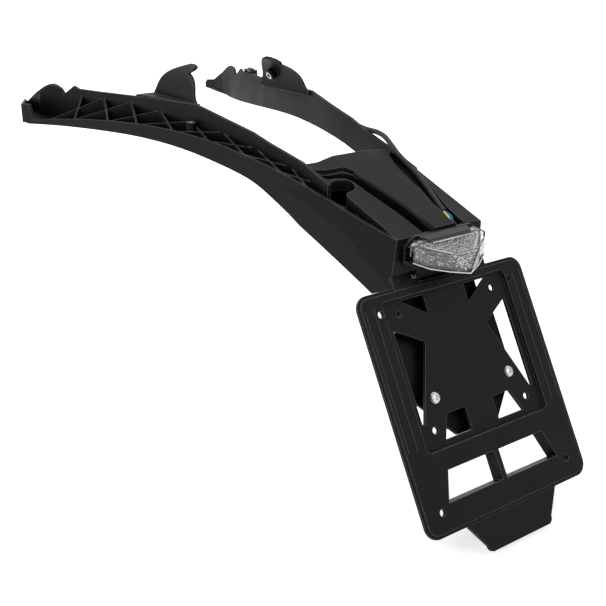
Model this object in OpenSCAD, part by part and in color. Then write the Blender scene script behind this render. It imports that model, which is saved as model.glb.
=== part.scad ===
// Rear fender extension for a motorcycle: two arms run forward from a tail deck that
// carries a clear rear light, a cable and a tilted number plate frame.
// Frame: X to the right, Y forward, Z up. The origin lies on the front face of the plate
// frame, at mid width, a little below its top edge. All sizes are in millimetres.

/* [Plate frame] */
// Width of the plate frame
frame_w = 190; // [170:1:210]
// Height of the plate frame along its face
frame_h = 204; // [196:1:215]
// Depth of the frame's skirts behind its face
frame_depth = 13; // [10:0.5:15]
// Thickness of the frame's face
face_t = 3.5; // [3:0.1:4.5]
// Lean of the face from the vertical, in degrees
plate_tilt = 30; // [26:0.5:34]
// Radius of the frame's corners
corner_r = 12; // [8:0.5:16]
// Depth of the recess that holds the cross panel
recess_d = 3; // [2.5:0.1:3.5]
// Spacing of the outer plate holes across and down the face
outer_holes = [148.6, 166.8];
// Spacing of the inner plate holes across and down the face
inner_holes = [108, 100];
// Radius of every plate hole
plate_hole_r = 3; // [2.5:0.1:3.5]

/* [Tail deck] */
// Half width of the deck at its rear edge
deck_hw = 48; // [46:0.5:50]
// Distance of the deck's rear edge ahead of the origin
deck_y0 = 8; // [7:0.5:9]
// Distance of the deck's front edge ahead of the origin
deck_y1 = 133; // [125:1:140]
// Distance of the deck's front lip ahead of the origin
front_y = 130.5; // [129:0.5:132]
// Height of the deck's rear edge
deck_z0 = 45; // [43:0.5:47]
// Rise of the deck for each millimetre forward
deck_rise = 0.328; // [0.3:0.005:0.35]
// Wall thickness of the moulding
wall = 2.8; // [2.4:0.1:3.2]

/* [Arms] */
// Front end of the arm's outer wall
arm_y1 = 540; // [530:1:550]
// Front end of the arm's inner wall
tip_y = 600; // [592:1:606]
// Thickness of the lattice ribs
rib_t = 1.8; // [1.4:0.1:2.4]
// Outer radius of the curled hook
hook_r = 36.4; // [35:0.1:38]

/* [Rear light] */
// Half width of the light
light_hw = 41; // [40:0.5:42]
// Distance that the lens stands out behind the deck
light_nose = 31; // [29:0.5:32]

/* [Cable] */
// Diameter of the cable
cable_d = 5; // [4:0.5:6]
// Diameter of each wire
wire_d = 2.2; // [1.8:0.1:2.2]

/* [Hidden] */

black = [0.09, 0.09, 0.095];
eps = 0.01;
top_v = 7;                      // face height above the origin
low_v = top_v - frame_h;        // face bottom
tail_gap = 0.5;                 // gap between the frame's skirts and the tail plate

// Smooth curve through control points, with n steps between neighbours
function blend(a, b, c, d, t) =
    0.5 * (2 * b + (c - a) * t + (2 * a - 5 * b + 4 * c - d) * t * t
    + (3 * b - a - 3 * c + d) * t * t * t);
function curve(p, n) = concat(
    [for (i = [0 : len(p) - 2]) for (k = [0 : n - 1])
        blend(p[max(i - 1, 0)], p[i], p[i + 1], p[min(i + 2, len(p) - 1)], k / n)],
    [p[len(p) - 1]]);
function back(p) = [for (i = [len(p) - 1 : -1 : 0]) p[i]];

// Plan half widths of the arm's two walls, which spread in parallel parabolas
function out_hw(y) = deck_hw + 0.085 * (y - deck_y0) + 0.00022 * pow(y - deck_y0, 2);
function in_hw(y) = y < deck_y1 ? deck_hw + 0.016 * (y - deck_y0)
    : deck_hw + 2 + 0.0934 * (y - deck_y1) + 0.000205 * pow(y - deck_y1, 2)
    - 0.0038 * pow(max(y - 540, 0), 2);
function deck_z(y) = deck_z0 + deck_rise * (y - deck_y0);

// Side outlines of the arm and body, as distance forward and height
out_top = curve([[deck_y0, deck_z0], [51, 53], [90, 62], [125, 70], [160, 77], [200, 83.5],
    [245, 89], [290, 91.5], [345, 91.5], [411, 87.5], [477, 80.5], [530, 72]], 3);
out_low = curve([[530, 68.5], [475, 73], [410, 76.5], [348, 78], [288, 75.5], [232, 68.5],
    [192, 61], [165, 50.5], [125, 31]], 3);
in_low = curve([[tip_y, 74], [530, 71], [472, 74], [406, 79], [340, 83], [290, 82.5],
    [250, 79.5], [213, 74.5], [180, 67], [150, 59], [100, 44], [30, 24]], 2);

// Runs along X a side outline given in Y and Z
module side_prism(points, x0 = 0, x1 = 200) {
    translate([x0, 0, 0]) rotate([90, 0, 90]) linear_extrude(x1 - x0) polygon(points);
}

// Upright plan strip between two offsets of a wall line
module plan_band(outer, y0, y1, off0, off1, n = 18) {
    ys = [for (i = [0 : n]) y0 + (y1 - y0) * i / n];
    translate([0, 0, -60]) linear_extrude(260) polygon(concat(
        [for (y = ys) [(outer ? out_hw(y) : in_hw(y)) + off0, y]],
        [for (y = back(ys)) [(outer ? out_hw(y) : in_hw(y)) + off1, y]]));
}

// Copies a right-hand form to both sides
module both() {
    children();
    mirror([1, 0, 0]) children();
}

// Turns a drawing in the plane of the plate face (X across, Y up the face, Z out) into place
module on_plate() {
    rotate([90 - plate_tilt, 0, 0]) children();
}

module rounded_plate(w, v0, v1, r, z0, z1) {
    translate([0, 0, z0]) linear_extrude(z1 - z0) union() {
        translate([-w / 2 + r, v0]) square([w - 2 * r, v1 - v0]);
        translate([-w / 2, v0 + r]) square([w, v1 - v0 - 2 * r]);
        for (x = [-1, 1], v = [v0 + r, v1 - r])
            translate([x * (w / 2 - r), v]) circle(r, $fn = 48);
    }
}

// Body: the lattice arms

// Bay lines of the lattice, and its heights at the outer wall, inner wall and floor
bays_out = [493, 454, 400, 355, 300, 250, 200, 151, 118];
bays_in = [476, 438, 392, 345, 295, 248, 200, 151, 118];
rib_out = [[118, 69], [151, 76], [200, 84], [248, 89], [296, 91], [344, 91], [392, 88.5],
    [440, 85], [488, 78.5]];
rib_in = [[118, 71], [151, 79], [200, 88], [248, 96], [296, 100], [344, 104], [392, 107],
    [440, 106], [488, 104]];
floor_at = [[118, 50], [151, 59.5], [200, 72], [248, 79], [296, 82.5], [344, 82.5],
    [392, 80], [440, 76], [488, 73]];

// One upright rib between two plan points, with its own top height at each end
module rib(p, q, top_p, top_q, low_p, low_q) {
    d = q - p;
    translate([p[0], p[1], 0]) rotate([0, 0, atan2(d[1], d[0])]) rotate([90, 0, 0])
        translate([0, 0, -rib_t / 2]) linear_extrude(rib_t)
            polygon([[0, low_p], [norm(d), low_q], [norm(d), top_q], [0, top_p]]);
}

module arm_lattice() {
    for (i = [0 : len(bays_out) - 2]) {
        for (s = [[bays_out[i], bays_in[i + 1]], [bays_out[i + 1], bays_in[i]]])
            rib([out_hw(s[0]) - 1, s[0]], [in_hw(s[1]) + 1, s[1]],
                lookup(s[0], rib_out), lookup(s[1], rib_in),
                lookup(s[0], floor_at), lookup(s[1], floor_at));
    }
}

// Outer wall: low rim of the open channel, deepening into the side of the tail
module outer_wall() {
    intersection() {
        plan_band(true, deck_y0, arm_y1, -wall, 0, 20);
        side_prism(concat(out_top, [[arm_y1, 71.5], [arm_y1, 70]], out_low,
            [[30, -7], [17, -1], [deck_y0, 4.3]]));
    }
}

// Inner wall: taller, with a raised lobe at its front end
lobe = curve([[tip_y, 82], [587, 84], [571, 92], [556, 99.5], [541, 107], [526, 111.5],
    [514, 108], [508, 101]], 2);
in_top = concat(lobe, [[488, 113], [481, 110.5], [444, 111.5], [408, 113], [384, 114],
    [286, 117.5], [243, 109.5], [204, 102.8], [180, 96.3], [deck_y1, 86]]);
inner_y0 = 96;
module inner_wall() {
    intersection() {
        plan_band(false, inner_y0, tip_y, 0, wall, 24);
        side_prism(concat(in_top, [[85, deck_z(85)]],
            back([for (p = in_low) if (p[0] > 84) p])));
    }
}

// Floor of the channel
module arm_floor() {
    intersection() {
        plan_floor();
        side_prism(concat(in_low, back([for (p = in_low) p + [0, 2.4]])));
    }
}

module plan_floor() {
    ys = [for (i = [0 : 20]) 60 + (arm_y1 - 60) * i / 20];
    translate([0, 0, -20]) linear_extrude(160) polygon(concat(
        [for (y = ys) [out_hw(y) - 1, y]], [[in_hw(tip_y) + 1, tip_y]],
        [for (y = back(ys)) [in_hw(y) + 1, y]]));
}

// Slanting end cap between the two walls' front ends
module arm_cap() {
    a = [out_hw(arm_y1) - wall, arm_y1 - 1];
    b = [in_hw(tip_y) + 1, tip_y - 1];
    d = b - a;
    translate([a[0], a[1], 0]) rotate([0, 0, atan2(d[1], d[0])]) rotate([90, 0, 0])
        linear_extrude(wall) polygon([[0, 69.5], [norm(d), 74], [norm(d), 84], [norm(d) / 3, 88],
            [0, 90]]);
    intersection() {
        plan_band(true, arm_y1 - 30, arm_y1, -wall, 0, 3);
        side_prism([[arm_y1, 69], [arm_y1, 90], [527, 91], [522, 74], [510, 71]]);
    }
}

// Rounded pad that backs the lobe, thicker towards its front
module arm_pad() {
    intersection() {
        translate([0, 0, 60]) linear_extrude(60) polygon([[in_hw(500) + 1, 500], [131, 543],
            [130, 553], [in_hw(560) + 1, 560]]);
        side_prism(concat(curve([[562, 84], [552, 93], [541, 102], [528, 109.5], [512, 108.5],
            [503, 98], [497, 84]], 3), [[495, 74], [562, 74]]));
    }
}

// Hook: a quarter-round shell that curls inward over the arm and ends in a point
hook_x = 33;
hook_z = 116;
hook_side = concat(
    curve([[380, 112], [377.5, 117], [373, 123.5], [370, 130.5], [366, 136.5], [357, 142.5],
        [343, 147.5], [331, 151.5]], 2),
    [[323, 148], [321, 144.5], [324, 141.8]],
    curve([[315.5, 140], [306, 136], [299.5, 130], [295, 121.5], [287, 112]], 2));
module hook_shell() {
    intersection() {
        translate([hook_x, 400, hook_z]) rotate([90, 0, 0]) difference() {
            cylinder(r = hook_r, h = 130, $fn = 72);
            translate([0, 0, -1]) cylinder(r = hook_r - wall, h = 132, $fn = 72);
        }
        side_prism(hook_side, hook_x + 13.5, 90);
    }
}

// Ledge between the hook's foot and the arm's inner wall
module hook_ledge() {
    intersection() {
        translate([0, 0, 100]) linear_extrude(40) polygon([[66.6, 287], [in_hw(287) + 2, 287],
            [in_hw(386) + 2, 386], [78, 386], [69, 379], [66.6, 372]]);
        side_prism([[284, 117.5], [380, 116.5], [386, 113.5], [386, 110], [284, 112]], 60, 100);
    }
}

// Boss in the hook's hollow that takes a threaded bush
bush_at = [62, 346, 130];
bush_lean = 62;
bush_r = 4;
bush_l = 9;
bush_end = 2; // depth of the bush's blind end past the hook's inner face
module bush_axis() {
    translate(bush_at) rotate([0, bush_lean, 0]) children();
}

module hook() {
    difference() {
        union() {
            hook_shell();
            intersection() {
                bush_axis() translate([0, 0, bush_end - bush_l + 0.5])
                    cylinder(r = bush_r + 2, h = bush_l, $fn = 40);
                translate([hook_x, 400, hook_z]) rotate([90, 0, 0])
                    cylinder(r = hook_r - 0.5, h = 130, $fn = 72);
            }
        }
        bush_axis() translate([0, 0, bush_end - 15]) cylinder(r = bush_r, h = 15, $fn = 40);
    }
    hook_ledge();
}

// Upright boss in the channel for the sleeve
sleeve_at = [77.6, 286];
sleeve_r = 3.6;
sleeve_bore = 2.7;
sleeve_z0 = 80.5;
sleeve_z1 = 101;
module sleeve_boss() {
    translate([sleeve_at[0], sleeve_at[1], sleeve_z0])
        cylinder(r = sleeve_r + 1.6, h = sleeve_z1 - sleeve_z0, $fn = 40);
}

module arm() {
    difference() {
        union() {
            outer_wall();
            inner_wall();
            arm_floor();
            arm_lattice();
            arm_cap();
            arm_pad();
            sleeve_boss();
        }
        translate([sleeve_at[0], sleeve_at[1], 60]) cylinder(r = sleeve_r, h = 60, $fn = 40);
    }
    hook();
}

// Body: the tail deck

// Slab parallel to the deck, between two heights measured from it
module deck_slab(h0, h1) {
    translate([0, deck_y0, deck_z0]) rotate([atan(deck_rise), 0, 0])
        translate([-100, -30, h0]) cube([200, 200, h1 - h0]);
}

module deck_piece(h0, h1, points) {
    intersection() {
        translate([0, 0, -20]) linear_extrude(160) polygon(points);
        deck_slab(h0, h1);
    }
}

// Crosswise profile of the deck's top: distance across and height above the deck's plane
crown = [[-58, 0], [-38, 0], [-21, 3.3], [18, 3.3], [50, 0]];

// Piece of the deck whose top follows that profile, lowered by drop
module crowned(h0, points, drop = 0) {
    intersection() {
        translate([0, 0, -20]) linear_extrude(160) polygon(points);
        translate([0, deck_y0, deck_z0]) rotate([atan(deck_rise), 0, 0]) translate([0, 200, 0])
            rotate([90, 0, 0]) linear_extrude(240)
                polygon(concat([[crown[0][0], h0]], [for (p = crown) p - [0, drop]],
                    [[crown[len(crown) - 1][0], h0]]));
    }
}

// Plan outlines of the deck: both sides of its groove, the plateau and the left shelf
groove_in = [[-10, deck_y0], [-9.2, 28], [-9.5, 43], [-13, 68], [-17, 89], [-20, 101.5],
    [-24.5, 109], [-48.3, 116.6], [-51.5, 118.2]];
groove_out = [[-17.3, deck_y0], [-20.6, 47], [-24.5, 77], [-25.5, 92], [-30, 100], [-40, 102.5],
    [-48, 102.5], [-51.5, 104]];
plateau_edge = [[-7, deck_y0], [-6.2, 28], [-6.5, 43], [-10, 68], [-14, 89], [-17, 103],
    [-22.5, 112], [-47.4, 119.6], [-48.6, 120.1]];
edge_r = 3;
plateau = concat(plateau_edge, [[-51, front_y], [50.3, front_y], [deck_hw, deck_y0]]);
left_shelf = concat([[-46.5, deck_y0], [-46.5, 80], [-51.5, 104]], back(groove_out));
keyhole = concat([[-60, 76], [-60, 97]], curve([[-50, 97], [-44, 99.3], [-36, 99.3], [-29.5, 97],
    [-27.5, 92], [-30, 85.5], [-36, 81.5], [-43, 80]], 3), [[-47, 76]]);

keyhole_mid = [-40, 89];
skirt_scale = 1.14;

// Trough that carries the cable
trough = concat([[18.5, deck_y0], [19.5, 38], [24.8, 61], [26.5, 77], [31, 103], [36, 115],
    [41, front_y]], [[46.4, front_y], [46.2, 98], [45.4, 86.5], [43.2, 74.3], [38.5, 58.2],
    [33.3, 43], [29.5, 30], [27.5, deck_y0]]);
trough_h = -3.5;

// Slot where the wires leave the trough and go down behind the rear wall
module wire_slot() {
    translate([grommet_at[0] - 5, deck_y0 + wall, 30]) cube([10, 12, 40]);
}

// Point on the axis of the plateau's rounded edge, and one straight run of that edge
function crown_point(p) = [p[0], p[1],
    deck_z(p[1]) + (lookup(p[0], crown) - edge_r) / cos(atan(deck_rise))];
module rounded_rod(a, b) {
    d = b - a;
    translate(a) rotate([0, acos(d[2] / norm(d)), atan2(d[1], d[0])])
        cylinder(r = edge_r, h = norm(d), $fn = 32);
    translate(b) sphere(r = edge_r, $fn = 32);
}

module deck() {
    difference() {
        union() {
            crowned(-wall, plateau);
            // rounded edge of the plateau and the groove's walls and floor
            for (i = [0 : len(plateau_edge) - 2])
                rounded_rod(crown_point(plateau_edge[i]), crown_point(plateau_edge[i + 1]));
            crowned(-7, concat(groove_in,
                back([for (p = groove_in) p + (p[0] < -21 ? [0, 2.5] : [2.5, 0])])), edge_r);
            deck_piece(-wall, 0, left_shelf);
            deck_piece(-7, 0, concat(groove_out,
                back([for (p = groove_out) p - (p[0] < -29 ? [0, 2.5] : [2.5, 0])])));
            deck_piece(-9, -6.5, concat(groove_in, back(groove_out)));
            // skirt around the shelf's opening
            intersection() {
                linear_extrude(160) polygon([for (p = keyhole)
                    keyhole_mid + skirt_scale * (p - keyhole_mid)]);
                deck_piece(-9, -0.4, left_shelf);
            }
            // skirts under the deck's sides
            intersection() {
                plan_band(false, deck_y0, deck_y1, -wall + 1, 1, 4);
                deck_slab(-24, -0.2);
                side_prism([[deck_y0, 0], [deck_y1, 30], [deck_y1, 100], [deck_y0, 60]]);
            }
            deck_piece(-24, -0.5, [[-46.5, deck_y0], [-46.5, 80], [-51.5, 104], [-49, 106],
                [-44, 81], [-44, deck_y0]]);
            // front lip
            crowned(-30, [[-51, front_y - wall], [-51, front_y], [50.3, front_y],
                [50.3, front_y - wall]]);
            // floor under the opening
            deck_piece(-26, -23.5, [[-52, 60], [-57, 105], [-57, front_y], [-15, front_y],
                [-15, 60]]);
        }
        translate([0, 0, 56]) linear_extrude(80) polygon(keyhole);
        intersection() {
            linear_extrude(160) polygon(trough);
            deck_slab(trough_h, 20);
        }
        wire_slot();
    }
    // skin below the trough
    difference() {
        deck_piece(trough_h - wall, trough_h, [for (p = trough) [p[0], p[1]]]);
        wire_slot();
    }
}

// Rear wall under the deck's edge, with the light's stud holes and the cable's hole
light_z = 30;
stud_x = 30;
grommet_at = [22, 37];
grommet_r = 5;
top_screw_x = 30;
top_screw_v = 13;
top_screw_r = 2.05;
ear_x = [24, 53];
ear_top = 16.4;
ear_t = 3;
module ear_pocket() {
    on_plate() both() translate([ear_x[0] - 0.5, -8, -ear_t - 0.5])
        cube([ear_x[1] - ear_x[0] + 1, ear_top + 8.6, 20]);
}

// Bosses behind the frame's ears
module ear_bosses() {
    on_plate() both() difference() {
        union() {
            translate([top_screw_x, top_screw_v, tail_z - tail_t]) cylinder(r = 5.5,
                h = -tail_z + tail_t - ear_t - 0.5, $fn = 40);
            translate([ear_x[0] - 2, 4, tail_z - 2]) cube([10, 13.5, -tail_z + 2 - ear_t - 0.5]);
        }
        translate([top_screw_x, top_screw_v, -40]) cylinder(r = top_screw_r, h = 60, $fn = 32);
    }
}
module rear_wall() {
    difference() {
        front_prism([[-deck_hw, deck_z0 + 0.5], [-53.4, 4.3], [53.4, 4.3],
            [deck_hw, deck_z0 + 0.5]], deck_y0, deck_y0 + wall);
        for (x = [-stud_x, stud_x]) translate([x, 0, light_z]) rotate([-90, 0, 0])
            cylinder(r = 2.3, h = 30, $fn = 32);
    }
}

// Side of the tail: its lower part stands out from the ridge line
module tail_flare() {
    flare = 5.5;
    y1 = 150;
    ys = [for (i = [0 : 8]) deck_y0 + (y1 - deck_y0) * i / 8];
    difference() {
        intersection() {
            translate([0, 0, -60]) linear_extrude(260) polygon(concat(
                [for (y = ys) [out_hw(y) + flare * (y1 - y) / (y1 - deck_y0) + eps, y]],
                [for (y = back(ys)) [out_hw(y) - wall, y]]));
            side_prism(concat([for (p = out_top) if (p[0] < y1) p],
                [[y1, 75], [y1, 44], [125, 31], [30, -7], [17, -1], [deck_y0, 4.3]]));
        }
        // outer face leans out downwards from the ridge
        translate([deck_hw, deck_y0, deck_z0]) rotate([0, 0, -atan(0.1)])
            rotate([atan(0.235), 0, 0]) rotate([0, -8, 0]) translate([0, -60, -100])
                cube([60, 300, 200]);
    }
}

// Tail plate behind the frame, with its stiffening flanges
tail_t = 3.5;
tail_z = -frame_depth - tail_gap;
module tail_plate() {
    on_plate() {
        difference() {
            translate([0, 0, tail_z - tail_t]) linear_extrude(tail_t) polygon([
                [-47, 12], [-47, -24], [-57, -30], [-57, -89], [-24, -126], [24, -126],
                [57, -89], [57, -30], [47, -24], [47, 12]]);
            for (x = [-centre_x, centre_x]) translate([x, centre_v, tail_z - 20])
                cylinder(r = 2.7, h = 30, $fn = 32);
        }
        for (x = [-1, 1]) {
            translate([x * 57 - (x > 0 ? wall : 0), -89, tail_z - 16]) cube([wall, 59, 16 - 1]);
            translate([x * 24 - wall / 2, -120, tail_z - 13]) cube([wall, 125, 12]);
        }
        translate([-44, -101, tail_z - 10]) cube([88, wall, 9]);
        translate([-57, -32, tail_z - 16]) cube([114, wall, 15]);
    }
    // gussets under the deck
    for (x = [-1, 1]) side_prism([[10, 25], [61, 42], [61, 25], [33, 0], [19, -8],
        [12, 3]], x * 24 - wall / 2, x * 24 + wall / 2);
}

// Cross wall that ties the two sides together under the deck
module cross_walls() {
    intersection() {
        translate([-75, 60, -20]) cube([150, wall, 160]);
        side_prism([[55, 8], [70, 16], [70, deck_z(70) - 9], [55, deck_z(55) - 9]], -53.5, 53.5);
    }
    // floor of the tail between the walls, seen from below
    for (x = [-1, 1]) side_prism([[12, 30], [60, 45], [60, 15], [30, -1], [18, 1]],
        x * 44 - wall / 2, x * 44 + wall / 2);
}

module fender_body() {
    color(black) {
        difference() {
            union() {
                both() arm();
                deck();
                rear_wall();
                both() tail_flare();
                tail_plate();
                cross_walls();
            }
            ear_pocket();
            on_plate() both() translate([top_screw_x, top_screw_v, -40])
                cylinder(r = top_screw_r, h = 60, $fn = 32);
            translate([grommet_at[0], 0, grommet_at[1]]) rotate([-90, 0, 0])
                cylinder(r = grommet_r, h = deck_y0 + wall + 3, $fn = 40);
        }
        ear_bosses();
    }
}

// Plate frame: one moulding with a recessed cross panel, windows, skirts and a lower tab

rim = 3;        // width of the step around the face
rim_drop = 1.4; // depth of that step
inset = 9;      // distance of the skirt from the frame's edge
skirt = 2.5;
panel_hw = 70.8;
panel_v = [-2, -131];
panel_t = 3;
screw_sink = 1.5; // depth of the pockets for the centre screws
centre_x = 43.7;
centre_v = top_v - 96.7;

// Windows of the cross panel, right-hand side
side_window = [[62, -28], [36, -43], [62, -107], [65, -107], [65, -28]];
top_window = [[50, -4.5], [23.5, -4.5], [23.5, -21]];
low_window = [[16, -105], [37, -105], [46, -125], [16, -125]];
// Plate windows below the panel, right-hand side
foot_window = [[2.5, -148], [56, -148], [65, -173], [2.5, -173]];

module window_cut(points, z0) {
    translate([0, 0, z0]) linear_extrude(60) polygon(points);
}

// Hole through the face or panel, whose back lies at z, with open room behind it
module plate_hole(z) {
    translate([0, 0, -40]) cylinder(r = plate_hole_r, h = 60, $fn = 32);
    translate([0, 0, -40]) cylinder(r = plate_hole_r + 1.4, h = 40 + z, $fn = 32);
}

module plate_frame() {
    color(black) on_plate() difference() {
        union() {
            // face and stepped rim
            rounded_plate(frame_w - 2 * rim, low_v + rim, top_v - rim, corner_r - rim, -face_t, 0);
            rounded_plate(frame_w, low_v, top_v, corner_r, -face_t, -rim_drop);
            difference() {
                rounded_plate(frame_w - 2 * inset, low_v + inset, top_v - inset, 4,
                    -frame_depth, -face_t + eps);
                rounded_plate(frame_w - 2 * inset - 2 * skirt, low_v + inset + skirt,
                    top_v - inset - skirt, 3, -frame_depth - 1, -face_t);
            }
            // floor of the recess and its skirt
            rounded_plate(2 * panel_hw + 2 * skirt, panel_v[1] - skirt, panel_v[0] + skirt, 6,
                -recess_d - panel_t, -1);
            // skirt around the lower windows
            difference() {
                translate([-68, -176, -frame_depth]) cube([136, 31, frame_depth - 1]);
                both() translate([0, 0, -frame_depth - 1]) linear_extrude(frame_depth + 2)
                    polygon(foot_window);
                for (x = [-1, 1]) translate([x * 70, -176, -frame_depth - 1])
                    rotate([0, 0, x * 20]) translate([x > 0 ? 0 : -20, -10, 0])
                        cube([20, 50, frame_depth - face_t + 1]);
            }
            // tab below the frame
            translate([0, 0, -face_t - 1]) linear_extrude(3) union() {
                polygon([[-53, low_v + 4], [-53, low_v], [-38, low_v - 22], [-34, low_v - 27.5],
                    [34, low_v - 27.5], [38, low_v - 22], [53, low_v], [53, low_v + 4]]);
                for (x = [-1, 1]) translate([x * 32.6, low_v - 22]) circle(5.6, $fn = 40);
            }
            // ears that screw to the body under the light
            both() translate([ear_x[0], top_v - 4, -ear_t - 0.5])
                cube([ear_x[1] - ear_x[0], ear_top - top_v + 4, ear_t]);
            // bosses behind the centre screws
            for (x = [-centre_x, centre_x]) translate([x, centre_v, -frame_depth])
                cylinder(r = 7, h = frame_depth - recess_d - 0.5, $fn = 40);
            // ribs behind the cross panel
            for (a = [-1, 1]) translate([0, -64, -frame_depth]) rotate([0, 0, a * 43])
                translate([-70, -skirt / 2, 0]) cube([140, skirt, frame_depth - recess_d - 1]);
        }
        // recess
        rounded_plate(2 * panel_hw, panel_v[1], panel_v[0], 5, -recess_d, 5);
        both() {
            window_cut(side_window, -40);
            window_cut(top_window, -40);
            window_cut(low_window, -40);
            window_cut(foot_window, -40);
        }
        for (x = [-1, 1] * outer_holes[0] / 2, v = [-11.3, -11.3 - outer_holes[1]])
            translate([x, v, 0]) plate_hole(-face_t);
        for (x = [-1, 1] * inner_holes[0] / 2, v = [-14.9, -14.9 - inner_holes[1]])
            translate([x, v, 0]) plate_hole(-recess_d - panel_t);
        for (x = [-centre_x, centre_x]) translate([x, centre_v, -40]) {
            cylinder(r = 2.7, h = 60, $fn = 32);
            translate([0, 0, 40 - recess_d - screw_sink]) cylinder(r = 5, h = 10, $fn = 40);
        }
        for (x = [-top_screw_x, top_screw_x]) translate([x, top_screw_v, -40])
            cylinder(r = 2.2, h = 60, $fn = 32);
    }
}

// Rear light: a clear wedge with a pointed nose over a pebbled inner optic

lens_plan = [[1 - light_hw, 4], [-light_hw, -5], [-31, -15], [-16, -24], [0, -light_nose],
    [16, -24], [31, -15], [light_hw, -5],
    [light_hw - 1, 4]];
lens_side = [[4, 24], [4, 44.5], [-5, 43.5], [-24, 35.5], [-light_nose, 17.5], [-10, 21.5]];
lens_front = [[-light_hw, 27], [-light_hw, 36], [-38, 41], [-31, 46], [31, 46], [38, 41],
    [light_hw, 36], [light_hw, 27], [30, 22.5], [0, 17], [-30, 22.5]];
optic_plan = [[-31, -2.5], [-30, -7], [0, -28.5], [30, -7], [31, -2.5]];
optic_side = [[-2.5, 26.5], [-2.5, 40], [-4, 39.8], [-20.5, 32.8], [-26.8, 21], [-7, 25]];

// Runs along Y an outline given in X and Z
module front_prism(points, y0, y1) {
    translate([0, y1, 0]) rotate([90, 0, 0]) linear_extrude(y1 - y0) polygon(points);
}

// Wedge shared by plan, side and front outlines, shrunk inwards by d, with its back left open
module light_wedge(plan, side, d) {
    y1 = plan[0][1];
    intersection() {
        linear_extrude(80) difference() {
            offset(delta = -d) polygon(concat(plan,
                [[-plan[0][0], y1 + 10], [plan[0][0], y1 + 10]]));
            translate([-60, y1]) square([120, 20]);
        }
        rotate([90, 0, 90]) translate([0, 0, -60]) linear_extrude(120) difference() {
            offset(delta = -d) polygon(concat([side[0], [y1 + 10, side[0][1]],
                [y1 + 10, side[1][1]]], [for (i = [1 : len(side) - 1]) side[i]]));
            translate([y1, 0]) square([20, 80]);
        }
        translate([0, 20, 0]) rotate([90, 0, 0]) linear_extrude(80)
            offset(delta = -d) polygon(lens_front);
    }
}

module light_lens() {
    color([0.85, 0.87, 0.9, 0.35]) difference() {
        light_wedge(lens_plan, lens_side, 0);
        translate([0, eps, 0]) light_wedge(lens_plan, lens_side, 2);
    }
}

// Inner optic, a thin pebbled shell
module light_optic() {
    color([0.85, 0.87, 0.9, 0.6]) difference() {
        light_wedge(optic_plan, optic_side, 0);
        translate([0, eps, 0]) light_wedge(optic_plan, optic_side, 1.5);
    }
}

module light_top_strip() {
    color([0.35, 0.33, 0.32]) intersection() {
        side_prism([[3.9, 44.6], [3.9, 46.2], [-4.8, 44.9], [-8, 43.6], [-8, 42.4],
            [-4.9, 43.65]], -60, 60);
        linear_extrude(80) polygon([[-27, 3.9], [-22, -8], [22, -8], [27, 3.9]]);
    }
}

module light_housing() {
    color(black) difference() {
        front_prism([[-light_hw - 2, 25], [-light_hw - 2, 40], [-32, 46.6], [32, 46.6],
            [light_hw + 2, 40], [light_hw + 2, 25], [31, 18.5], [-31, 18.5]], 4, 7);
        translate([-36, 3, 28]) cube([72, 2.5, 12]);
        for (x = [-stud_x, stud_x]) translate([x, 0, light_z]) rotate([-90, 0, 0])
            cylinder(r = 2, h = 10, $fn = 24);
        translate([grommet_at[0], 0, grommet_at[1]]) rotate([-90, 0, 0])
            cylinder(r = 3.5, h = 10, $fn = 32);
    }
}

module light_gasket() {
    color([0.05, 0.05, 0.05]) difference() {
        front_prism([[-42, 27], [-42, 39], [-30, 44.6], [30, 44.6], [42, 39], [42, 27],
            [33, 21], [-33, 21]], deck_y0 - 1, deck_y0);
        front_prism([[-17, 25], [-17, 41], [36, 41], [36, 34], [17, 25]], 0, 20);
        for (x = [-stud_x, stud_x]) translate([x, 0, light_z]) rotate([-90, 0, 0])
            cylinder(r = 2.3, h = 20, $fn = 24);
    }
}

// Silver reflector plate with a cup around each diode
led_x = [-24 : 12 : 24];
led_z = 33;
module light_reflector() {
    color([0.8, 0.8, 0.8]) difference() {
        translate([-35, -1.5, 28.5]) cube([70, 4.5, 10.5]);
        for (x = led_x) translate([x, 0, led_z]) rotate([-90, 0, 0]) {
            cylinder(r = 3, h = 20, $fn = 24);
            translate([0, 0, -2]) cylinder(r1 = 5.6, r2 = 3, h = 3.5, $fn = 24);
        }
    }
}

module led_board() {
    color([0.1, 0.35, 0.2]) translate([-35, 3.2, 30]) cube([70, 1.6, 10]);
}

module light_leds() {
    color([0.9, 0.9, 0.8]) for (x = led_x) translate([x, 3.2, led_z])
        rotate([90, 0, 0]) cylinder(r = 2.2, h = 2.6, $fn = 24);
}

module hex_nut(af, h, bore) {
    difference() {
        cylinder(r = af / sqrt(3), h = h, $fn = 6);
        translate([0, 0, -1]) cylinder(r = bore, h = h + 2, $fn = 24);
    }
}

stud_back = deck_y0 + wall;
module light_nuts() {
    color("silver") for (x = [-stud_x, stud_x]) {
        translate([x, stud_back + 1, light_z]) rotate([-90, 0, 0]) hex_nut(7, 3.2, 1.99);
        // stud
        translate([x, 6, light_z]) rotate([-90, 0, 0]) cylinder(r = 2, h = 11, $fn = 24);
    }
}

module light_washers() {
    color("silver") for (x = [-stud_x, stud_x]) translate([x, stud_back, light_z])
        rotate([-90, 0, 0]) difference() {
            cylinder(r = 4.5, h = 1, $fn = 32);
            translate([0, 0, -1]) cylinder(r = 2.2, h = 3, $fn = 24);
        }
}

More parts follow.
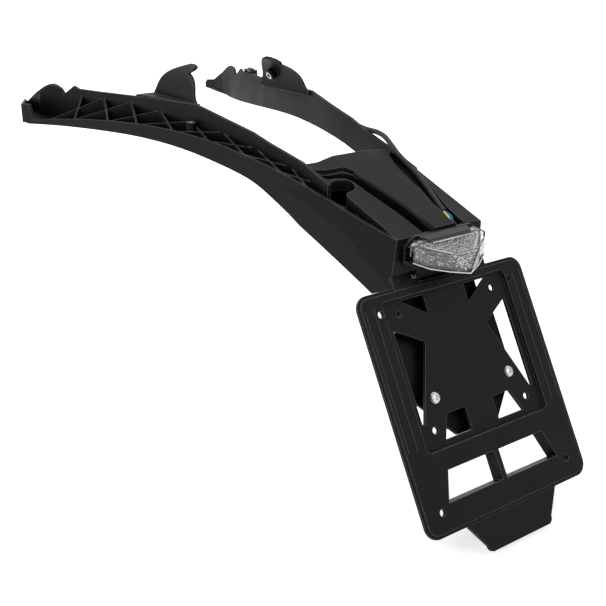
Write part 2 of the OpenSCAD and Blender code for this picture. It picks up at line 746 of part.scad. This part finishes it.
// Frame screws
module pan_screw(r, head_r, head_h, length) {
    difference() {
        union() {
            cylinder(r = head_r, h = head_h * 0.6, $fn = 32);
            translate([0, 0, head_h * 0.6]) intersection() {
                cylinder(r = head_r, h = head_h * 0.4, $fn = 32);
                translate([0, 0, -head_r * 1.6]) sphere(r = head_r * 1.88, $fn = 48);
            }
            translate([0, 0, -length]) cylinder(r = r, h = length + eps, $fn = 24);
        }
        for (a = [0, 90]) rotate([0, 0, a]) translate([-head_r * 0.6, -0.5, head_h * 0.45])
            cube([head_r * 1.2, 1, head_h]);
    }
}

module frame_centre_screws() {
    color("silver") on_plate() for (x = [-centre_x, centre_x])
        translate([x, centre_v, -recess_d - screw_sink + 0.8]) pan_screw(2.5, 4.2, 2.4, 17.6);
}

module frame_centre_washers() {
    color("silver") on_plate() for (x = [-centre_x, centre_x])
        translate([x, centre_v, -recess_d - screw_sink]) difference() {
            cylinder(r = 4.8, h = 0.8, $fn = 32);
            translate([0, 0, -1]) cylinder(r = 2.7, h = 3, $fn = 24);
        }
}

module frame_centre_nuts() {
    color("silver") on_plate() for (x = [-centre_x, centre_x])
        translate([x, centre_v, tail_z - tail_t - 4]) hex_nut(8, 4, 2.51);
}

module frame_top_screws() {
    color("silver") on_plate() for (x = [-top_screw_x, top_screw_x])
        translate([x, top_screw_v, -0.5]) pan_screw(2, 3, 2, 15);
}

// Metal sleeves and inserts of the arms
module arm_sleeves() {
    color("silver") both() translate([sleeve_at[0], sleeve_at[1], 0]) difference() {
        translate([0, 0, 80]) cylinder(r = sleeve_r, h = sleeve_z1 - 79.5, $fn = 40);
        translate([0, 0, 70]) cylinder(r = sleeve_bore, h = 40, $fn = 32);
    }
}

module hook_inserts() {
    color("silver") both() bush_axis() difference() {
        translate([0, 0, bush_end - bush_l]) cylinder(r = bush_r, h = bush_l, $fn = 40);
        translate([0, 0, bush_end - bush_l - 1]) cylinder(r = 2.5, h = bush_l + 2, $fn = 32);
    }
}

// Cable and wires

// Tube of n sides swept along a route
module tube(route, r, n) {
    m = len(route);
    function dir(i) = let (a = route[max(i - 1, 0)], b = route[min(i + 1, m - 1)])
        (b - a) / norm(b - a);
    rings = [for (i = [0 : m - 1]) let (d = dir(i), s = cross(d, [0, 0, 1]), u = s / norm(s),
        v = cross(u, d)) for (k = [0 : n - 1])
            route[i] + r * (cos(360 * k / n) * u + sin(360 * k / n) * v)];
    faces = concat(
        [[for (k = [0 : n - 1]) k]],
        [for (i = [0 : m - 2]) for (k = [0 : n - 1])
            [i * n + k, i * n + n + k, i * n + n + (k + 1) % n, i * n + (k + 1) % n]],
        [[for (k = [n - 1 : -1 : 0]) (m - 1) * n + k]]);
    polyhedron(rings, faces);
}

cable_route = [[107.8, 458, 109], [101.6, 430, 108], [94.6, 395, 107.2], [87.6, 360, 106],
    [82.4, 325, 105], [82, 305, 105], [83.7, 286, 104.5], [79.4, 266, 103], [74, 250, 101],
    [68.5, 232, 98.5], [64.8, 208, 96], [61.3, 184, 94.5], [57.5, 163, 95.6], [53.5, 147, 95],
    [50, 136, 92.5], [47.4, 127, 89.2], [45.4, 118.8, 85.6], [43.9, 110, 82.2], [42.8, 98, 77.4],
    [42.1, 86.5, 72.3], [39.9, 74.3, 66.9], [35.2, 58.2, 60.9], [30, 43.1, 55.7],
    [26.4, 31, 51.7]];
module cable() {
    color([0.06, 0.06, 0.06]) tube(curve(cable_route, 3), cable_d / 2, 10);
}

wire_start = [26.35, 30.6, 51.55];
wire_gap = wire_d / 2 + 0.05;
wire_lead = [-0.7, -2.8, -0.93];
module wire_yellow_green() {
    start = wire_start - [wire_gap, 0, 0];
    x1 = grommet_at[0] - wire_gap;
    color([0.75, 0.85, 0.1]) tube(curve([start, start + wire_lead, [21.6, 20, 49],
        [x1, 15.8, 43], [x1, 13.4, 38.2], [x1, 10.5, grommet_at[1]], [x1, 6, grommet_at[1]]], 3),
        wire_d / 2, 8);
}

module wire_blue() {
    start = wire_start + [wire_gap, 0, 0];
    x1 = grommet_at[0] + wire_gap;
    color([0.1, 0.3, 0.8]) tube(curve([start, start + wire_lead, [24.6, 20.4, 49.8],
        [x1, 15.8, 43.5], [x1, 13.4, 38.2], [x1, 10.5, grommet_at[1]], [x1, 6, grommet_at[1]]], 3),
        wire_d / 2, 8);
}

module cable_connector() {
    color([0.12, 0.12, 0.12]) translate(cable_route[0]) rotate([0, 0, -13.5]) {
        translate([-2.5, 0.5, -3.6]) cube([9, 20, 9]);
        translate([-1.5, 20.5, -2.6]) cube([7, 6, 7]);
        translate([0.5, 4.5, 5.4]) cube([3, 13, 1.5]);
    }
}

module cable_grommet() {
    color([0.05, 0.05, 0.05]) translate([grommet_at[0], 0, grommet_at[1]]) rotate([-90, 0, 0])
        difference() {
            translate([0, 0, deck_y0]) cylinder(r = grommet_r, h = wall + 2, $fn = 40);
            translate([0, 0, 0]) cylinder(r = 2.5, h = 30, $fn = 32);
        }
}

fender_body();
plate_frame();
light_housing();
light_gasket();
light_reflector();
light_optic();
led_board();
light_leds();
light_lens();
light_top_strip();
light_nuts();
light_washers();
frame_centre_screws();
frame_centre_washers();
frame_centre_nuts();
frame_top_screws();
arm_sleeves();
hook_inserts();
cable();
cable_connector();
cable_grommet();
wire_yellow_green();
wire_blue();
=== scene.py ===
"""Looks for the rear fender extension: materials, edges, light detail, studio and camera."""
import math

import bpy
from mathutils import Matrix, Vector


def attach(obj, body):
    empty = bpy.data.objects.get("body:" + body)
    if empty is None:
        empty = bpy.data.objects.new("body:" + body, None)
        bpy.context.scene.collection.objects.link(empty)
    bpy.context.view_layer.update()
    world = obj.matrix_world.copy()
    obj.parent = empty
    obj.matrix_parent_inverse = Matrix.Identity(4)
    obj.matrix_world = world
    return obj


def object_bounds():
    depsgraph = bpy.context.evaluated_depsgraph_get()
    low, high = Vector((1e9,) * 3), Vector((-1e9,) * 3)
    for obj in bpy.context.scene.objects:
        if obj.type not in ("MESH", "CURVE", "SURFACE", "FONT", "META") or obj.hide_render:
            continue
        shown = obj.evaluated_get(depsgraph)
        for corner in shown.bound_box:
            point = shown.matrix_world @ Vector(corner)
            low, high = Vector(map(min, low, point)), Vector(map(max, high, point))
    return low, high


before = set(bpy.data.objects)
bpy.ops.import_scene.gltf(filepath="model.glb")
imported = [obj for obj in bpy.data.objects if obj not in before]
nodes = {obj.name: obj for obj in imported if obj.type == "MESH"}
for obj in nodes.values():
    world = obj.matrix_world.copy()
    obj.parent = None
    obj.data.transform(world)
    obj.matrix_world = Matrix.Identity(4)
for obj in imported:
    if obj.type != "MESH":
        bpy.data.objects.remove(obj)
cad_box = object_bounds()
scene = bpy.context.scene

# Finish, in metres unless a line says otherwise
FRAME_EDGE = 0.0006         # rounding of the plate frame's edges
FINE_EDGE = 0.0003          # rounding of small parts' edges
STEP_EDGE = 0.0002          # rounding of the step lines' edges
FINE_EDGED = ("light_housing", "light_lens", "cable_connector", "frame_centre_screws",
              "frame_top_screws")
ROUNDING_STEPS = 2
SHARP_ANGLE = 32            # degrees between two faces from which their edge is rounded
WELD = 0.000002             # corners closer than this are joined before rounding
EDGE_ROUND_AND_HIGHLIGHT = 0.0009        # width over which a moulded edge shows lighter
POCKET_REACH = 0.03         # distance within which walls count for the painted shade in a pocket
POCKET_SHADED_SHARE = 0.05         # share of colour and shine that the painted shade leaves deep in a pocket
MASK_RAYS = 6               # rays for each spot of the edge and pocket masks

# Pieces, in the part's millimetres: right, forward and up. A half is the left one of a
# line whose right half is its mirror image
PER_METRE = 1000
BEAD_R = 0.5                # radius of the light's white beads that stand in for highlights
# Paths of the white beads that stand in for highlights on the light
HALF_OPTIC_RIDGE = [(-30, -7.4, 38.7), (-11.2, -20.9, 33.1)]
STRIP_EDGE = [(-22.4, -8.2, 42.5), (22.4, -8.2, 42.5)]
HALF_LENS_RIM = [(-41, -5, 27.6), (-31, -15, 23.3), (-16, -24, 20.2)]
LENS_TIP = (0, -31, 17.8)   # where the two halves of the lens's rim meet
DECK_LIP = (8, 45)          # how far forward and up the deck's rear lip is
DECK_RISE = 0.328           # rise of the deck for each millimetre forward
PLATEAU_HIGH = 3.3          # height of the deck's plateau above the deck
# Plan of the plateau's left edge, from the lip forward
PLATEAU_EDGE = [(-7, 8), (-6.2, 28), (-6.5, 43), (-10, 68), (-14, 89), (-17, 103)]
RIDGE_R = 3                 # radius of the plateau's rounded edge
RIDGE_PROUD = 0.12          # how far that edge's skin stands off the solid
RIDGE_SIDES = 24
# Plan of the web under the deck's opening
WEB_PLAN = [(-26, 106), (4, 98), (14, 128.4), (-16, 128.4)]
WEB_HEIGHTS = (52.5, 54.5)
PLATE_TILT = 30             # degrees that the plate frame leans from upright
STEP_LINES = (79.5, 88.5)   # across the frame's face, from the middle to each line
STEP_ENDS = (-125, -6)      # up the frame's face
STEP_WIDTH = 0.9
STEP_HEIGHTS = (-0.3, 0.35)  # out of the frame's face, from a root that is sunk in it

# Studio, in metres
FLOOR_GAP = 0.004           # between the object's lowest point and the floor
FLOOR_WIDTH = 30
FLOOR_PALE = 0.9
FLOOR_GLOW = 0.6            # as far as FLOOR_NEAR from the middle, and 1 from FLOOR_FAR on
FLOOR_NEAR = 0.5
FLOOR_FAR = 1.6
AMBIENT = 0.3               # strength of the studio for rays that only light the object
LAMP_TARGET = (0.0, 0.2, 0.0)  # the point that each lamp faces
# Each lamp's name, place, width and length, and power in watts
LAMPS = (("top", (0.1, 0.3, 1.6), (1.6, 1.6), 16),
         ("left", (-1.5, -0.3, 0.9), (1.0, 1.0), 9),
         ("rear", (0.6, -1.5, 1.0), (1.0, 0.7), 7),
         ("front_strip", (-0.2, 2.0, 1.5), (2.0, 0.3), 6))
CAMERA_PLACE = (-0.5680, -0.5781, 0.2976)
CAMERA_TURN = (68.48, 0.0, -35.96)  # degrees
CAMERA_LENS = 59.41         # millimetres, for the sensor below
CAMERA_SENSOR = 36          # millimetres


# Node helpers

def new_material(name):
    material = bpy.data.materials.new(name)
    material.use_nodes = True
    tree = material.node_tree
    return material, tree, tree.nodes["Principled BSDF"]


def add(tree, kind, **settings):
    node = tree.nodes.new(kind)
    for key, value in settings.items():
        setattr(node, key, value)
    return node


def feed(tree, node, values):
    """Links each input, by name or number, to an output, or sets the input's own value."""
    for name, value in values.items():
        if isinstance(value, bpy.types.NodeSocket):
            tree.links.new(value, node.inputs[name])
        else:
            node.inputs[name].default_value = value


def solid_texture(tree, kind, output, values):
    """Output of a texture that is fixed to the object."""
    texture = add(tree, kind)
    place = add(tree, "ShaderNodeTexCoord")
    feed(tree, texture, {"Vector": place.outputs["Object"], **values})
    return texture.outputs[output]


def noise(tree, scale, detail=3.0, rough=0.5):
    return solid_texture(tree, "ShaderNodeTexNoise", "Fac",
                         {"Scale": scale, "Detail": detail, "Roughness": rough})


def cells(tree, scale):
    """Zero in the middle of each pebble and higher towards the gaps."""
    return solid_texture(tree, "ShaderNodeTexVoronoi", "Distance", {"Scale": scale})


def span(tree, value, first, last, start=0.3, end=0.7):
    """First where the value is start or less, last where it is end or more."""
    mapper = add(tree, "ShaderNodeMapRange")
    feed(tree, mapper, {"Value": value, "From Min": start, "From Max": end,
                        "To Min": first, "To Max": last})
    return mapper.outputs["Result"]


def maths(tree, operation, a, b):
    node = add(tree, "ShaderNodeMath", operation=operation)
    feed(tree, node, {0: a, 1: b})
    return node.outputs[0]


def times(tree, a, b):
    return maths(tree, "MULTIPLY", a, b)


def blend(tree, amount, first, second):
    """Colour between first, a colour or an output, and the colour second."""
    mix = add(tree, "ShaderNodeMix", data_type="RGBA")
    a, b = [k for k, socket in enumerate(mix.inputs) if socket.type == "RGBA"]
    feed(tree, mix, {"Factor": amount, b: (*second, 1),
                     a: (*first, 1) if isinstance(first, tuple) else first})
    return [socket for socket in mix.outputs if socket.type == "RGBA"][0]


def scaled(colour, share):
    return tuple(share * c for c in colour)


def bump(tree, height, strength, depth, base=None):
    """Normal of a raised texture, on top of the base normal if there is one."""
    node = add(tree, "ShaderNodeBump")
    feed(tree, node, {"Strength": strength, "Distance": depth, "Height": height})
    if base is not None:
        feed(tree, node, {"Normal": base})
    return node.outputs["Normal"]


# Materials

def soft_edges(tree):
    """Normal rounded over each edge, and a mask for the painted edge highlight: zero on flat
    faces, up to one at edges.
    """
    rounded = add(tree, "ShaderNodeBevel", samples=MASK_RAYS)
    feed(tree, rounded, {"Radius": EDGE_ROUND_AND_HIGHLIGHT})
    flat = add(tree, "ShaderNodeNewGeometry")
    alike = add(tree, "ShaderNodeVectorMath", operation="DOT_PRODUCT")
    feed(tree, alike, {0: rounded.outputs["Normal"], 1: flat.outputs["Normal"]})
    at_edge = span(tree, alike.outputs["Value"], 1, 0, start=0.8, end=0.995)
    return rounded.outputs["Normal"], at_edge


def painted_pocket_shade(tree):
    """Painted shade for pockets: a factor that is one in the open and low inside pockets, then a
    mask that is zero deep inside them.
    """
    around = add(tree, "ShaderNodeAmbientOcclusion", samples=MASK_RAYS)
    feed(tree, around, {"Distance": POCKET_REACH})
    clear = around.outputs["AO"]
    painted_shade_factor = span(tree, clear, POCKET_SHADED_SHARE, 1, start=0.25, end=0.8)
    out_of_pocket = span(tree, clear, 0, 1, start=0.2, end=0.5)
    return painted_shade_factor, out_of_pocket


def moulded_plastic(name, dark, light, rough, grain_scale, grain_depth, shine=0.1, edge=0.17):
    """Black moulded plastic: eroded grain, slow gloss changes, painted shade in pockets and a
    painted highlight, in the colour edge, along edges.
    """
    material, tree, shader = new_material(name)
    slow = noise(tree, scale=22)
    fine = noise(tree, grain_scale, detail=2, rough=0.6)
    painted_shade_factor, out_of_pocket = painted_pocket_shade(tree)
    rounded, at_edge = soft_edges(tree)
    # Slow random tone, pulled to the dark colour deep in pockets: painted shade
    plain = blend(tree, times(tree, span(tree, slow, 0, 1), painted_shade_factor), dark, light)
    # Painted highlight along edges, in the colour edge, kept out of pockets
    painted_edge_highlight = times(tree, at_edge, out_of_pocket)
    feed(tree, shader, {
        "Base Color": blend(tree, painted_edge_highlight, plain, (edge, edge, edge)),
        "Roughness": span(tree, slow, *rough),
        "Normal": bump(tree, fine, strength=0.35, depth=grain_depth, base=rounded),
        # The painted shade also dims the shine in pockets
        "Specular IOR Level": times(tree, painted_shade_factor, shine)})
    return material


def metal(name, colour, rough, scale=900, darker=0.8):
    """Plated steel with fine turning marks."""
    material, tree, shader = new_material(name)
    marks = noise(tree, scale, detail=4, rough=0.7)
    feed(tree, shader, {
        "Base Color": blend(tree, span(tree, marks, 0, 1), scaled(colour, darker), colour),
        "Roughness": span(tree, marks, *rough),
        "Normal": bump(tree, marks, strength=0.15, depth=0.00005),
        "Metallic": 1.0})
    return material


def rubbery(name, colour, rough=(0.55, 0.75), lighter=1.5):
    """Rubber or plain plastic with a fine grain."""
    material, tree, shader = new_material(name)
    grain = noise(tree, scale=700)
    feed(tree, shader, {
        "Base Color": blend(tree, span(tree, grain, 0, 1), colour, scaled(colour, lighter)),
        "Roughness": span(tree, grain, *rough),
        "Normal": bump(tree, grain, strength=0.2, depth=0.0001),
        "Specular IOR Level": 0.3})
    return material


def braided(name, colour, scale=1500, lighter=3):
    """Woven cable sleeve."""
    material, tree, shader = new_material(name)
    weave = cells(tree, scale)
    feed(tree, shader, {
        "Base Color": blend(tree, weave, colour, scaled(colour, lighter)),
        "Roughness": span(tree, weave, 0.35, 0.6),
        "Normal": bump(tree, weave, strength=0.8, depth=0.0004),
        "Specular IOR Level": 0.25})
    return material


def pebbled_silver(name, colour, scale, depth, darker=0.15, side_shade_strength=1.6):
    """Silvered pebbles that each mirror the studio, with painted shade in the gaps between
    pebbles and in blotches on faces that don't face up.
    """
    material, tree, shader = new_material(name)
    pebbles = cells(tree, scale)
    # Painted shade in the gaps between pebbles
    gaps = span(tree, pebbles, 0, 1, start=0.1, end=0.8)
    flat = add(tree, "ShaderNodeNewGeometry")
    facing = add(tree, "ShaderNodeSeparateXYZ")
    feed(tree, facing, {0: flat.outputs["Normal"]})
    # Painted shade in blotches on faces that don't face up
    not_up = span(tree, facing.outputs["Z"], 1, 0, start=0.1, end=0.6)
    painted_side_shade = span(tree, noise(tree, scale=330), 0, 1, start=0.42, end=0.56)
    painted_side_shade = times(tree, times(tree, painted_side_shade, not_up), side_shade_strength)
    shade = maths(tree, "MAXIMUM", gaps, painted_side_shade)
    feed(tree, shader, {
        "Base Color": blend(tree, shade, colour, scaled(colour, darker)),
        "Roughness": span(tree, noise(tree, scale=90, detail=2), 0.1, 0.25),
        "Normal": bump(tree, pebbles, strength=1.0, depth=depth),
        "Metallic": 1.0})
    return material


def clear_plastic(name, colour, rough, scale, depth, transmission=1.0):
    """Clear moulded plastic with a slightly uneven face."""
    material, tree, shader = new_material(name)
    feed(tree, shader, {
        "Base Color": (*colour, 1),
        "Roughness": span(tree, noise(tree, scale=60, detail=2), *rough),
        "Normal": bump(tree, cells(tree, scale), strength=0.6, depth=depth),
        "IOR": 1.49,
        "Transmission Weight": transmission})
    return material


body_black = moulded_plastic(
    "body_black", dark=(0.004, 0.004, 0.0042), light=(0.0065, 0.0065, 0.0068),
    rough=(0.42, 0.55), grain_scale=2600, grain_depth=0.00012)
frame_black = moulded_plastic(
    "frame_black", dark=(0.004, 0.004, 0.0042), light=(0.006, 0.006, 0.0063),
    rough=(0.38, 0.48), grain_scale=3400, grain_depth=0.00006)
gloss_black = moulded_plastic(
    "gloss_black", dark=(0.003, 0.003, 0.003), light=(0.005, 0.005, 0.005),
    rough=(0.14, 0.22), grain_scale=600, grain_depth=0.00001, shine=0.15, edge=0.08)
lens_smoke = moulded_plastic(
    "lens_smoke", dark=(0.012, 0.012, 0.008), light=(0.02, 0.02, 0.014),
    rough=(0.15, 0.25), grain_scale=600, grain_depth=0.00001, shine=0.15, edge=0.3)
zinc = metal("zinc", colour=(0.6, 0.6, 0.58), rough=(0.22, 0.38))
dark_steel = metal("dark_steel", colour=(0.06, 0.06, 0.06), rough=(0.2, 0.3))
silver = metal("silver", colour=(0.93, 0.93, 0.94), rough=(0.08, 0.2), scale=400)
rubber = rubbery("rubber", colour=(0.006, 0.006, 0.006))
wire_yellow = rubbery("wire_yellow", colour=(0.42, 0.52, 0.03), rough=(0.25, 0.4))
wire_blue = rubbery("wire_blue", colour=(0.01, 0.09, 0.3), rough=(0.25, 0.4))
board_white = rubbery("board_white", colour=(0.6, 0.6, 0.6), rough=(0.3, 0.4))
led_clear = rubbery("led_clear", colour=(0.62, 0.6, 0.4), rough=(0.1, 0.2))
cable_black = braided("cable_black", colour=(0.004, 0.004, 0.0042))
optic_silver = pebbled_silver("optic_silver", colour=(0.96, 0.96, 0.93), scale=470, depth=0.005)
lens_clear = clear_plastic("lens_clear", colour=(0.86, 0.87, 0.86), rough=(0.0, 0.03),
                           scale=160, depth=0.0002)
# Whitish plastic for the beads that stand in for highlights on the light
painted_highlight = clear_plastic("painted_highlight", colour=(0.95, 0.95, 0.93), rough=(0.25, 0.35),
                        scale=900, depth=0.0001, transmission=0.25)

MATERIAL_OF = {
    "fender_body": body_black, "plate_frame": frame_black,
    "light_housing": gloss_black, "light_gasket": rubber, "light_reflector": silver,
    "light_optic": optic_silver, "led_board": board_white, "light_leds": led_clear,
    "light_lens": lens_clear, "light_top_strip": lens_smoke,
    "light_nuts": zinc, "light_washers": zinc,
    "frame_centre_screws": zinc, "frame_centre_washers": zinc, "frame_centre_nuts": zinc,
    "frame_top_screws": dark_steel, "arm_sleeves": zinc, "hook_inserts": zinc,
    "cable": cable_black, "cable_connector": gloss_black, "cable_grommet": rubber,
    "wire_yellow_green": wire_yellow, "wire_blue": wire_blue}


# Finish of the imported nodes

def set_material(thing, material):
    thing.data.materials.clear()
    thing.data.materials.append(material)
    for face in thing.data.polygons:
        face.material_index = 0


def round_edges(thing, width):
    weld = thing.modifiers.new("join", "WELD")
    weld.merge_threshold = WELD
    bevel = thing.modifiers.new("edge", "BEVEL")
    bevel.width = width
    bevel.segments = ROUNDING_STEPS
    bevel.limit_method = "ANGLE"
    bevel.angle_limit = math.radians(SHARP_ANGLE)
    bevel.use_clamp_overlap = True
    bevel.harden_normals = False
    bevel.miter_outer = "MITER_ARC"


for name, node in nodes.items():
    set_material(node, MATERIAL_OF[name])
round_edges(nodes["plate_frame"], FRAME_EDGE)
for name in FINE_EDGED:
    round_edges(nodes[name], FINE_EDGE)


# Pieces that only the looks need

def new_piece(name, points, faces, material):
    """Mesh piece in part millimetres that rides with the moulding."""
    mesh = bpy.data.meshes.new(name)
    mesh.from_pydata([[c / PER_METRE for c in point] for point in points], [], faces)
    mesh.validate()
    piece = bpy.data.objects.new(name, mesh)
    scene.collection.objects.link(piece)
    mesh.materials.append(material)
    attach(piece, "root")
    return piece


def bead(name, path, radius, material, sides=8):
    """Round bead along a path, with a ring at each point and closed ends."""
    spots = [Vector(point) for point in path]
    rings = []
    for i, spot in enumerate(spots):
        along = (spots[min(i + 1, len(spots) - 1)] - spots[max(i - 1, 0)]).normalized()
        side = along.cross(Vector((0, 0, 1))).normalized()
        up = side.cross(along)
        rings += [spot + radius * (side * math.cos(turn) + up * math.sin(turn))
                  for turn in (2 * math.pi * k / sides for k in range(sides))]
    faces = [(i * sides + k, i * sides + (k + 1) % sides,
              (i + 1) * sides + (k + 1) % sides, (i + 1) * sides + k)
             for i in range(len(spots) - 1) for k in range(sides)]
    last = (len(spots) - 1) * sides
    faces += [tuple(range(sides - 1, -1, -1)), tuple(range(last, last + sides))]
    piece = new_piece(name, rings, faces, material)
    for face in piece.data.polygons:
        face.use_smooth = True


def slab(name, outline, heights, place, material):
    """Prism of an outline between two heights, each point put through place."""
    n = len(outline)
    points = [place(u, v, w) for w in heights for u, v in outline]
    faces = [tuple(range(n - 1, -1, -1)), tuple(range(n, 2 * n))]
    faces += [(k, (k + 1) % n, n + (k + 1) % n, n + k) for k in range(n)]
    return new_piece(name, points, faces, material)


def as_is(u, v, w):
    return (u, v, w)


def on_plate(u, v, w):
    """Across the plate frame's face, up it and out of it."""
    lean = math.radians(PLATE_TILT)
    return (u, v * math.sin(lean) - w * math.cos(lean), v * math.cos(lean) + w * math.sin(lean))


def on_ridge(x, y):
    """Middle of the plateau's rounded edge, at a point of the deck's plan."""
    return (x, y, DECK_LIP[1] + DECK_RISE * (y - DECK_LIP[0])
            + (PLATEAU_HIGH - RIDGE_R) * math.hypot(1, DECK_RISE))


def mirrored(path):
    return [(-x, y, z) for x, y, z in reversed(path)]


def painted_highlight_beads():
    """White beads that stand in for highlights: the optic's ridge, the strip's edge and the
    lens's lower rim.
    """
    bead("optic_ridge_highlight", HALF_OPTIC_RIDGE + mirrored(HALF_OPTIC_RIDGE), BEAD_R, painted_highlight)
    bead("strip_edge_highlight", STRIP_EDGE, BEAD_R, painted_highlight)
    bead("lens_rim_highlight", HALF_LENS_RIM + [LENS_TIP] + mirrored(HALF_LENS_RIM), BEAD_R, painted_highlight)


def deck_pieces():
    """Rounded edge of the deck's plateau, and the web that closes the floor of its opening."""
    bead("deck_ridge", [on_ridge(x, y) for x, y in PLATEAU_EDGE], RIDGE_R + RIDGE_PROUD,
         body_black, RIDGE_SIDES)
    slab("opening_web", WEB_PLAN, WEB_HEIGHTS, as_is, body_black)


def step_lines():
    """Fine step lines beside the frame's recess."""
    bottom, top = STEP_ENDS
    for side, side_name in ((-1, "left"), (1, "right")):
        for k, u in enumerate(STEP_LINES):
            near, far = sorted((side * u, side * (u + STEP_WIDTH)))
            line = slab("step_line_%s_%d" % (side_name, k),
                        [(near, bottom), (far, bottom), (far, top), (near, top)],
                        STEP_HEIGHTS, on_plate, frame_black)
            round_edges(line, STEP_EDGE)


painted_highlight_beads()
deck_pieces()
step_lines()


# Studio

def shows_white(tree):
    """One for rays that see the backdrop itself: camera, mirror and clear-plastic rays."""
    path = add(tree, "ShaderNodeLightPath")
    seen = path.outputs["Is Camera Ray"]
    for kind in ("Is Transmission Ray", "Is Glossy Ray"):
        seen = maths(tree, "MAXIMUM", seen, path.outputs[kind])
    return seen


def floor_white():
    """Pale surface that shows as white, darker where the object shades it."""
    material, tree, shader = new_material("floor_white")
    place = add(tree, "ShaderNodeTexCoord")
    away = add(tree, "ShaderNodeVectorMath", operation="LENGTH")
    feed(tree, away, {0: place.outputs["Object"]})
    glow = span(tree, away.outputs["Value"], FLOOR_GLOW, 1, FLOOR_NEAR, FLOOR_FAR)
    feed(tree, shader, {
        "Base Color": (FLOOR_PALE, FLOOR_PALE, FLOOR_PALE, 1),
        "Roughness": 0.9,
        "Emission Color": (1, 1, 1, 1),
        "Emission Strength": times(tree, shows_white(tree), glow)})
    return material


def lay_floor():
    bpy.ops.mesh.primitive_plane_add(size=FLOOR_WIDTH, location=(0, 0, cad_box[0][2] - FLOOR_GAP))
    floor = bpy.context.object
    floor.name = "floor"
    floor.data.materials.append(floor_white())


def light_world():
    """White where a ray sees the backdrop, and dimmer for rays that only light the object."""
    world = bpy.data.worlds.new("studio")
    scene.world = world
    world.use_nodes = True
    tree = world.node_tree
    level = span(tree, shows_white(tree), AMBIENT, 1, start=0, end=1)
    feed(tree, tree.nodes["Background"], {"Color": (1, 1, 1, 1), "Strength": level})


def add_lamp(name, place, size, power):
    data = bpy.data.lights.new(name, "AREA")
    data.shape = "RECTANGLE"
    data.size, data.size_y = size
    data.energy = power
    lamp = bpy.data.objects.new(name, data)
    scene.collection.objects.link(lamp)
    lamp.location = place
    aim = Vector(LAMP_TARGET) - Vector(place)
    lamp.rotation_euler = aim.to_track_quat("-Z", "Y").to_euler()


def add_camera():
    data = bpy.data.cameras.new("camera")
    data.sensor_width = CAMERA_SENSOR
    data.lens = CAMERA_LENS
    camera = bpy.data.objects.new("camera", data)
    camera.location = CAMERA_PLACE
    camera.rotation_euler = [math.radians(angle) for angle in CAMERA_TURN]
    scene.collection.objects.link(camera)
    return camera


lay_floor()
light_world()
for settings in LAMPS:
    add_lamp(*settings)
bpy.context.scene.camera = add_camera()
bpy.context.scene.view_settings.view_transform = "Standard"
